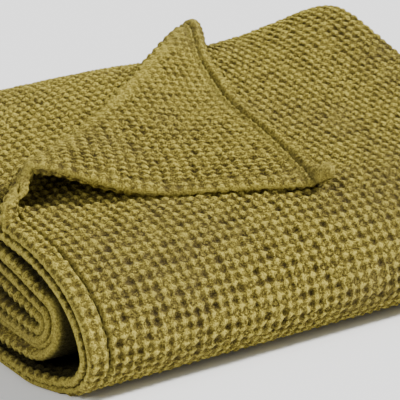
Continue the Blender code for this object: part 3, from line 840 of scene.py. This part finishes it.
def waffle_cotton():
    """Stonewashed cotton: olive yellow ridges, taupe pits darkened further with painted shade, a soft nap and
    fine yarns, with painted shade in the stitched grooves and between the layers.
    """
    material = bpy.data.materials.new("waffle_cotton")
    material.use_nodes = True
    tree = material.node_tree
    shader = tree.nodes["Principled BSDF"]
    amount = add_node(tree, "ShaderNodeAttribute", attribute_name="amount").outputs["Fac"]
    groove_and_painted_shade = add_node(tree, "ShaderNodeAttribute", attribute_name="groove_and_painted_shade").outputs["Fac"]
    cell = add_node(tree, "ShaderNodeAttribute", attribute_name="cell").outputs["Vector"]
    solid = add_node(tree, "ShaderNodeTexCoord").outputs["Object"]

    def noise(vector, scale, detail, roughness=0.5):
        feeds = [("Vector", vector), ("Scale", scale), ("Detail", detail), ("Roughness", roughness)]
        return add_node(tree, "ShaderNodeTexNoise", feeds)

    def mix(share, first, second, blend="MIX"):
        feeds = [(0, share), (6, first), (7, second)]
        return add_node(tree, "ShaderNodeMix", feeds, data_type="RGBA", blend_type=blend).outputs[2]

    wobble = vector_node(tree, "SUBTRACT", noise(solid, WOBBLE_SCALE, 1.0).outputs["Color"], (0.5, 0.5, 0.5))
    cell = vector_node(tree, "ADD", cell, vector_node(tree, "MULTIPLY", wobble, WOBBLE))
    # The tone follows the cells, darkest at the painted shade in each pit
    raised, nub, varied = cell_relief(tree, cell, PAINTED_PIT_SHADE_MIDDLE, NUB_SEED, NUB_SHARE)

    # The yarns run along the ridges, and across the walls of the pit beside them
    places = add_node(tree, "ShaderNodeSeparateXYZ", [(0, cell)]).outputs
    strands = []
    for place in (places[0], places[1]):
        turn = number_node(tree, "MULTIPLY", place, YARNS_IN_A_CELL * math.pi)
        strands.append(number_node(tree, "ABSOLUTE", number_node(tree, "SINE", turn)))
    strand = number_node(tree, "MAXIMUM", strands[0], strands[1])
    fuzz = noise(solid, FUZZ_SCALE, 3.0, 0.7).outputs[0]
    tone = number_node(tree, "MAXIMUM", raised, number_node(tree, "MULTIPLY", nub, NUB_TONE))
    tone = number_node(tree, "ADD", tone, number_node(tree, "MULTIPLY_ADD", strand, *STRAND_TONE))
    tone = number_node(tree, "ADD", tone, number_node(tree, "MULTIPLY_ADD", fuzz, *FUZZ_TONE))
    plain = soft_step(tree, amount, *WOVEN_STEP)
    flat_tone = number_node(tree, "MULTIPLY_ADD", fuzz, *FLAT_TONE)
    feeds = [(0, plain), (2, flat_tone), (3, tone)]
    tone = add_node(tree, "ShaderNodeMix", feeds, data_type="FLOAT").outputs[0]
    ramp = add_node(tree, "ShaderNodeValToRGB", [(0, tone)])
    ends = (RIDGE_RAMP[0], RIDGE_RAMP[-1])
    for element, (position, color) in zip(ramp.color_ramp.elements, ends):
        element.position = position
        element.color = color
    for position, color in RIDGE_RAMP[1:-1]:
        ramp.color_ramp.elements.new(position).color = color
    washed = soft_step(tree, noise(solid, WASHED_SCALE, 3.0).outputs[0], *WASHED_STEP)
    varied = number_node(tree, "MULTIPLY_ADD", varied, *WASHED_VARIED)
    washed = number_node(tree, "MULTIPLY", washed, varied)
    color = mix(number_node(tree, "MULTIPLY", washed, WASHED_SHARE), ramp.outputs[0], WASHED_TAUPE)
    # Painted shade along the stitched grooves, broken where the stitches cross them
    steps = []
    for place in (places[0], places[1]):
        turn = number_node(tree, "MULTIPLY", place, STITCHES_IN_A_CELL * 2.0 * math.pi)
        steps.append(number_node(tree, "SINE", turn))
    stitch = soft_step(tree, number_node(tree, "MULTIPLY", *steps), *STITCH_STEP)
    stitch = number_node(tree, "MULTIPLY_ADD", stitch, -STITCH_LIGHTER, 1.0)
    groove_and_painted_shade = number_node(tree, "MULTIPLY", groove_and_painted_shade, stitch)
    color = mix(number_node(tree, "MULTIPLY", groove_and_painted_shade, GROOVE_SHARE), color, PAINTED_GROOVE_SHADE)
    # The painted shade between the layers darkens the colour
    painted_shade = add_node(tree, "ShaderNodeAttribute", attribute_name="painted_shade").outputs["Fac"]
    color = mix(1.0, color, painted_shade, "MULTIPLY")
    tree.links.new(color, shader.inputs["Base Color"])

    grain = number_node(tree, "MULTIPLY_ADD", nub, NUB_GRAIN, raised)
    grain = number_node(tree, "MULTIPLY", grain, number_node(tree, "MULTIPLY", amount, WEAVE_GRAIN))
    grain = number_node(tree, "MULTIPLY_ADD", strand, STRAND_GRAIN, grain)
    grain = number_node(tree, "MULTIPLY_ADD", fuzz, FUZZ_GRAIN, grain)
    feeds = [("Strength", 1.0), ("Distance", BUMP_HEIGHT), ("Height", grain)]
    bump = add_node(tree, "ShaderNodeBump", feeds)
    tree.links.new(bump.outputs[0], shader.inputs["Normal"])
    shader.inputs["Roughness"].default_value = 0.92
    shader.inputs["Specular IOR Level"].default_value = 0.1
    shader.inputs["Sheen Weight"].default_value = 0.08
    shader.inputs["Sheen Roughness"].default_value = 0.5
    shader.inputs["Sheen Tint"].default_value = SHEEN_TINT
    return material


RELIEF = relief_tree()
COTTON = waffle_cotton()
RELIEF_VALUES = {
    "Cell": CELL * MM,
    "Ridge": 1.9 * MM,
    "Pit": 2.1 * MM,
    "Nub": 1.5 * MM,
    "Nub Share": NUB_SHARE,
    "Wander": 0.35,
    "Swell": 2.2 * MM,
    "Seed": NUB_SEED,
    "Cloth": COTTON,
}


def woven(piece, cells_u, cells_v):
    """Gives a part of the cloth its weave and finish, and states what it is."""
    modifier = piece.modifiers.new("weave", "NODES")
    modifier.node_group = RELIEF
    for socket in RELIEF.interface.items_tree:
        if socket.in_out == "INPUT" and socket.name in RELIEF_VALUES:
            modifier[socket.identifier] = RELIEF_VALUES[socket.name]
    depsgraph = bpy.context.evaluated_depsgraph_get()
    data = bpy.data.meshes.new_from_object(piece.evaluated_get(depsgraph), preserve_all_data_layers=True,
                                           depsgraph=depsgraph)
    piece.modifiers.remove(modifier)
    data.name = piece.name
    piece.data = data
    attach(piece, "root")
    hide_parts("bedspread")
    print(piece.name, sum(len(face.vertices) - 2 for face in data.polygons), "triangles")


# The cells where one part of the cloth meets the next, and how far in from an edge the cloth shows
BACK_TURN_CELL = int(STATIONS[np.argmax(FACE[:, 0] > BACK_TURN_Y + 1.0)] / CELL)
FRONT_CELL = int(place_along(*PROFILE_ROWS[0]) / CELL)
CROWN_CELL = int(FOLD_START / CELL) - 1
NEAR_SHOWN = 3.2 * CELL
FAR_SHOWN = 1.5 * CELL
PAST_CURL = 1.5 * CELL
BARED_BEFORE = 3.0 * CELL
NEAR_FOLD = (layer_cell("near_fold") + 0.5) * CELL
FAR_FOLD = (layer_cell("far_fold") * CELL, layer_cell("fourth") * CELL)
INNER_FOLD = (layer_cell("inner_fold") + 0.5) * CELL


def end_cells(u):
    """The cells near the two ends of the roll, where edges and folds show: on the face, on the reverse."""
    near_hem = (u < NEAR_SHOWN) | (u > WIDTH - NEAR_SHOWN)
    near_fold = np.abs(u - NEAR_FOLD) < NEAR_SHOWN
    far_fold = (u > FAR_FOLD[0] - FAR_SHOWN) & (u < FAR_FOLD[1] + FAR_SHOWN)
    return near_hem | near_fold | far_fold, near_hem


cells = ((0, WIDE_CELLS), (0, BACK_TURN_CELL))
across, onward = cell_middles(*cells)
on_face, on_reverse = end_cells(across)
inner_roll = cloth_mesh("bedspread_inner_roll", *cells, HIDDEN_CUTS, on_face, on_reverse, COVERED, COVERED)
woven(inner_roll, *cells)

# The back turn and the underside: the next pass of the cloth, round the back of the roll and flat
# along the surface that it lies on.
cells = ((0, WIDE_CELLS), (BACK_TURN_CELL, FRONT_CELL))
across, onward = cell_middles(*cells)
on_face, on_reverse = end_cells(across)
on_face = on_face | (across < FAR_FOLD[1])
underside = cloth_mesh("bedspread_underside", *cells, HIDDEN_CUTS, on_face, on_reverse,
                       (0.0, NEAR_FOLD), COVERED)
woven(underside, *cells)

# The round front: the same cloth up from the underside to where its corner is turned back. Its
# cells, the side hem and the edges of the layers under it face the viewer.
cells = ((0, WIDE_CELLS), (FRONT_CELL, CROWN_CELL))
across, onward = cell_middles(*cells)
on_face, on_reverse = end_cells(across)
on_face = on_face | (across < FAR_FOLD[1])
front = cloth_mesh("bedspread_front", *cells, SHOWN_CUTS, on_face, on_reverse, (0.0, NEAR_FOLD), COVERED)
woven(front, *cells)

# The outermost layer over the top, with its loose corner turned back diagonally, and the soft fold
# that leads on to the layers under it. The reverse of the cloth shows on the turned corner.
cells = ((0, layer_cell("fourth")), (CROWN_CELL, LONG_CELLS))
across, onward = cell_middles(*cells)
far_x = ROLL_LENGTH - FAR_BULGE - SHEET / 2
past, along_fold = past_fold(across * far_x / (layer_cell("far_fold") * CELL), onward)[:2]
at_near_end = across < NEAR_SHOWN
on_face = (past < math.pi * curl_radius(along_fold) + PAST_CURL) | at_near_end
on_reverse = ((past > -CELL) & (across < FAR_FOLD[0])) | at_near_end
crown = cloth_mesh("bedspread_crown", *cells, SHOWN_CUTS, on_face, on_reverse, BARE, BARE)
woven(crown, *cells)

# The three layers under the crown. The uppermost of them, whose reverse faces out, shows where the
# corner is turned back from it.
cells = ((layer_cell("fourth"), WIDE_CELLS), (CROWN_CELL, LONG_CELLS))
across, onward = cell_middles(*cells)
on_face, on_reverse = end_cells(across)
past = past_fold(WIDTH - across, onward)[0]
bared = (past > -BARED_BEFORE) & (across > INNER_FOLD)
on_reverse = on_reverse | bared
layers = cloth_mesh("bedspread_layers", *cells, SHOWN_CUTS, on_face, on_reverse, COVERED, (INNER_FOLD, WIDTH))
woven(layers, *cells)

# The floor that the roll lies on, pale and plain, under a soft studio light from the upper right and
# a weaker one from the left.
FLOOR_SIZE = 12.0
FLOOR_DROP = 0.0005
floor_corners = ((-1, -1), (1, -1), (1, 1), (-1, 1))
floor_places = [(x * FLOOR_SIZE, y * FLOOR_SIZE, -FLOOR_DROP) for x, y in floor_corners]
floor_data = bpy.data.meshes.new("floor")
floor_data.from_pydata(floor_places, [], [(0, 1, 2, 3)])
floor = bpy.data.objects.new("floor", floor_data)
bpy.context.scene.collection.objects.link(floor)
paper = bpy.data.materials.new("pale_floor")
paper.use_nodes = True
paper.node_tree.nodes["Principled BSDF"].inputs["Base Color"].default_value = (1.0, 1.0, 1.0, 1.0)
paper.node_tree.nodes["Principled BSDF"].inputs["Roughness"].default_value = 0.9
paper.node_tree.nodes["Principled BSDF"].inputs["Specular IOR Level"].default_value = 0.1
floor_data.materials.append(paper)

world = bpy.data.worlds.new("studio")
world.use_nodes = True
world.node_tree.nodes["Background"].inputs["Color"].default_value = (1.0, 1.0, 1.0, 1.0)
world.node_tree.nodes["Background"].inputs["Strength"].default_value = 0.36
bpy.context.scene.world = world


def soft_light(name, turn, strength, softness):
    """A far soft light, turned about X and then Z, in degrees."""
    light = bpy.data.lights.new(name, "SUN")
    light.energy = strength
    light.angle = math.radians(softness)
    lamp = bpy.data.objects.new(name, light)
    lamp.location = (0.0, 0.0, 2.0)
    lamp.rotation_euler = (math.radians(turn[0]), 0.0, math.radians(turn[1]))
    bpy.context.scene.collection.objects.link(lamp)


soft_light("key", (46.0, 68.0), 6.1, 8.0)
soft_light("fill", (50.0, -75.0), 1.6, 30.0)

# The camera, a long lens a little above the roll and round from its front
lens = bpy.data.cameras.new("camera")
lens.lens = 180.0
lens.sensor_width = 36.0
camera = bpy.data.objects.new("camera", lens)
camera.location = (-0.8283, -1.2167, 0.5814)
camera.rotation_euler = (math.radians(70.0), 0.0, math.radians(-34.0))
bpy.context.scene.collection.objects.link(camera)
bpy.context.scene.camera = camera
